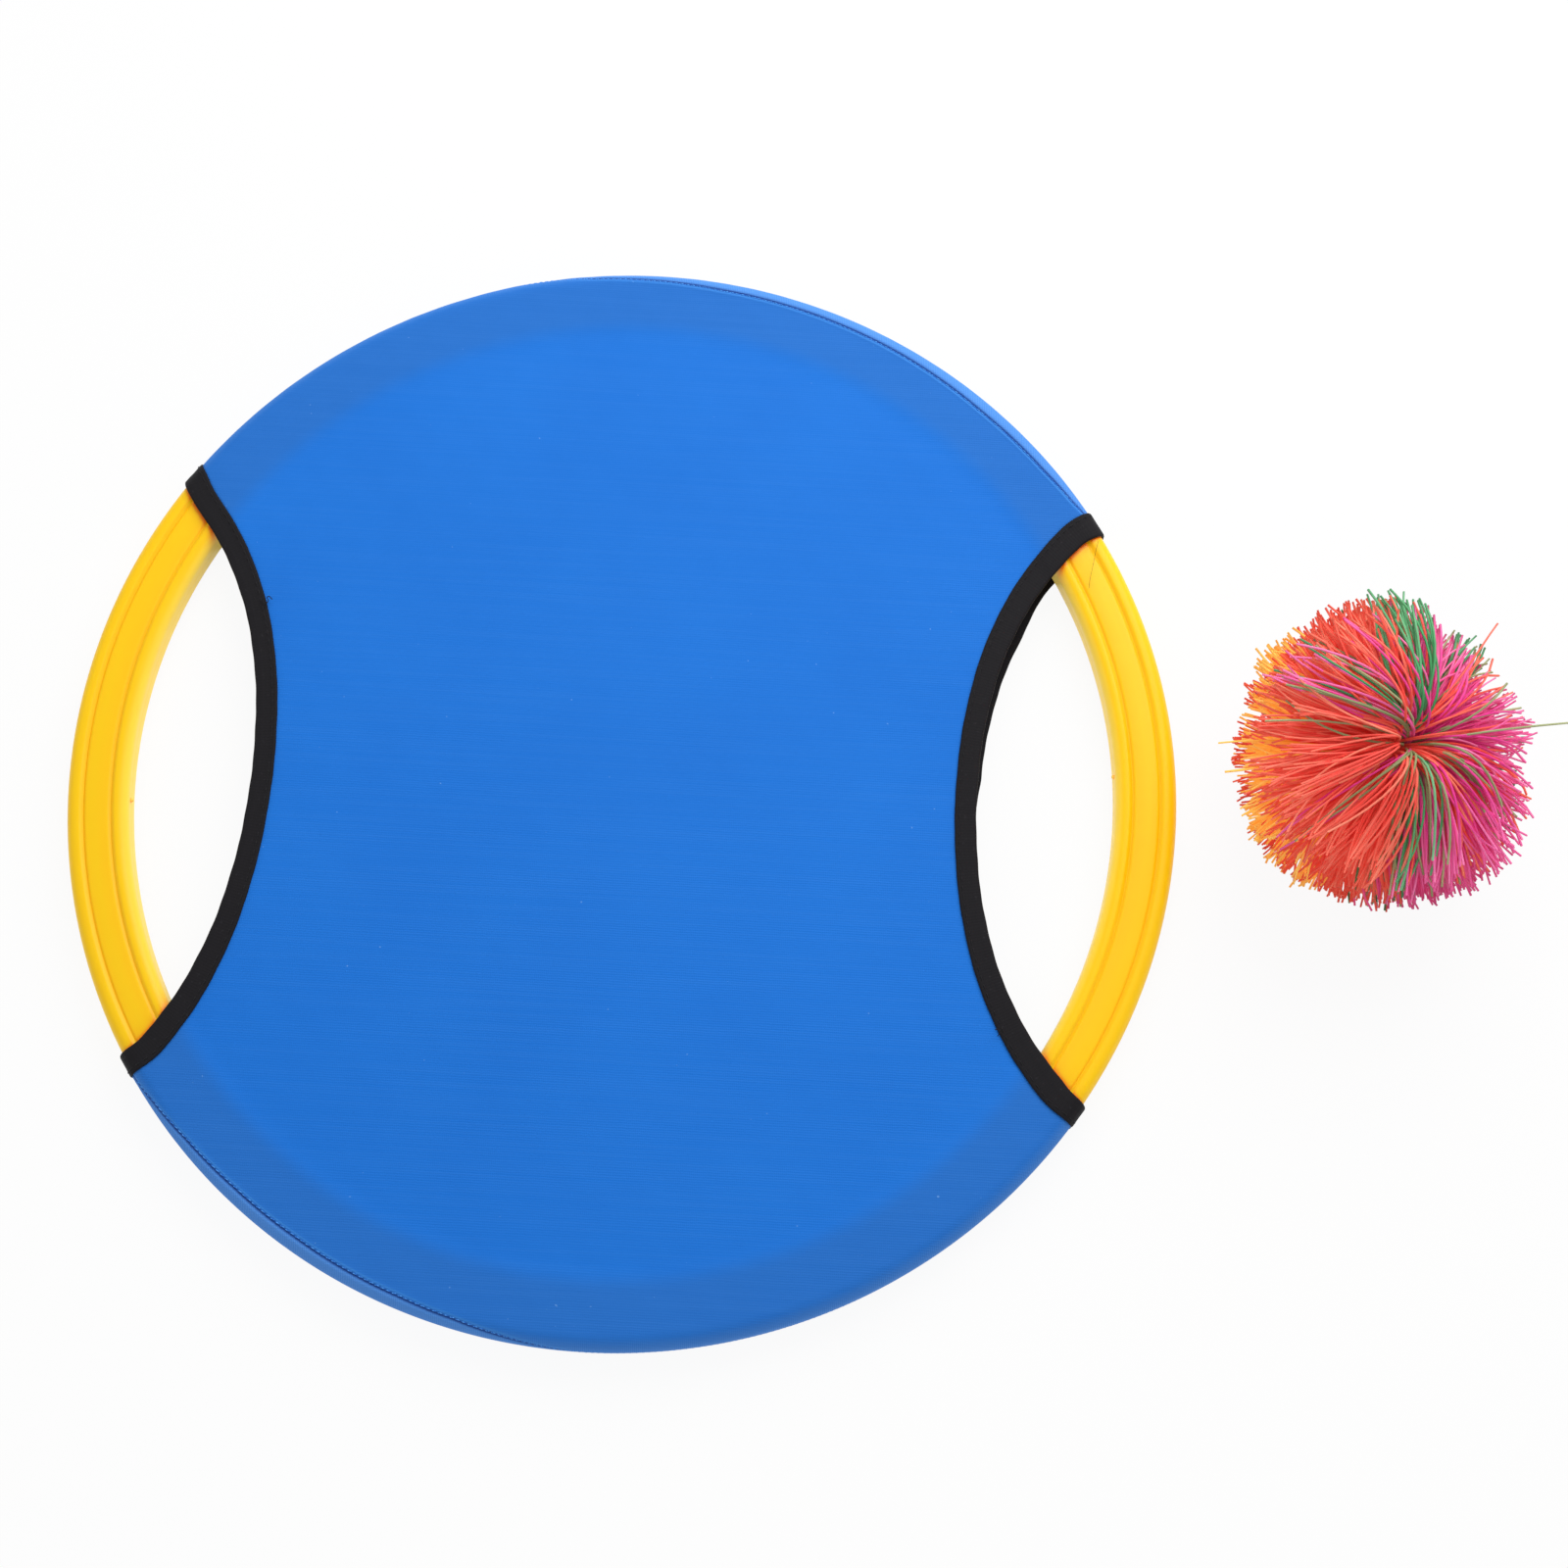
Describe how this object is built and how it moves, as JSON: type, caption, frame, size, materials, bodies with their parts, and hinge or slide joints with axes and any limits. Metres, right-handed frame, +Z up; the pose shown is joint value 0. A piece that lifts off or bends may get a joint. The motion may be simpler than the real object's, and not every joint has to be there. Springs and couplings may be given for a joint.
{
  "type": "paddle catch ball set",
  "caption": "Round stretch-cloth paddle with two hand holes on a ribbed plastic hoop, with a soft rubber string ball beside it.",
  "frame": {"origin": "middle of the paddle, on the outer face of its back cloth, which lies on the surface that the set rests on", "axes": "+Z up, out of the paddle's front cloth; X through the two hand holes, with the string ball on +X; Y through the two sewn rims"},
  "size_m": [0.3621, 0.2822, 0.0657],
  "materials": {
    "hoop_yellow": "glossy yellow, slightly translucent at the ribs",
    "cloth_blue": "stretched fine knit",
    "tape_black": "folded elastic tape",
    "thread_blue": "sewing thread",
    "thread_black": "sewing thread",
    "tie_grey": "plain moulded ring",
    "orange_rubber": "satin",
    "coral_rubber": "satin",
    "green_rubber": "satin",
    "olive_rubber": "satin",
    "magenta_rubber": "satin"
  },
  "bodies": {
    "cover": {"front_panel": "cloth_blue", "back_panel": "cloth_blue", "left_binding": "tape_black", "right_binding": "tape_black", "left_binding_thread": "thread_black", "right_binding_thread": "thread_black", "top_seam_thread": "thread_blue", "bottom_seam_thread": "thread_blue"},
    "hoop": {"hoop": "hoop_yellow"},
    "ball": {"ball_tie": "tie_grey", "orange_sheet": "orange_rubber", "coral_sheet_outer": "coral_rubber", "coral_sheet_middle": "coral_rubber", "coral_sheet_inner": "coral_rubber", "green_sheet_inner": "green_rubber", "olive_sheet": "olive_rubber", "magenta_sheet_inner": "magenta_rubber", "magenta_sheet_middle": "magenta_rubber", "magenta_sheet_outer": "magenta_rubber", "green_sheet_outer": "green_rubber"}
  },
  "joints": [
    {"name": "hoop_turn", "type": "hinge", "parent": "cover", "child": "hoop", "pos_m": [0, 0, 0.0061], "axis": [0, 0, 1], "continuous": true},
    {"name": "ball_lift", "type": "slide", "parent": "cover", "child": "ball", "axis": [0, 0, 1], "range_m": [0, 0.12]}
  ]
}
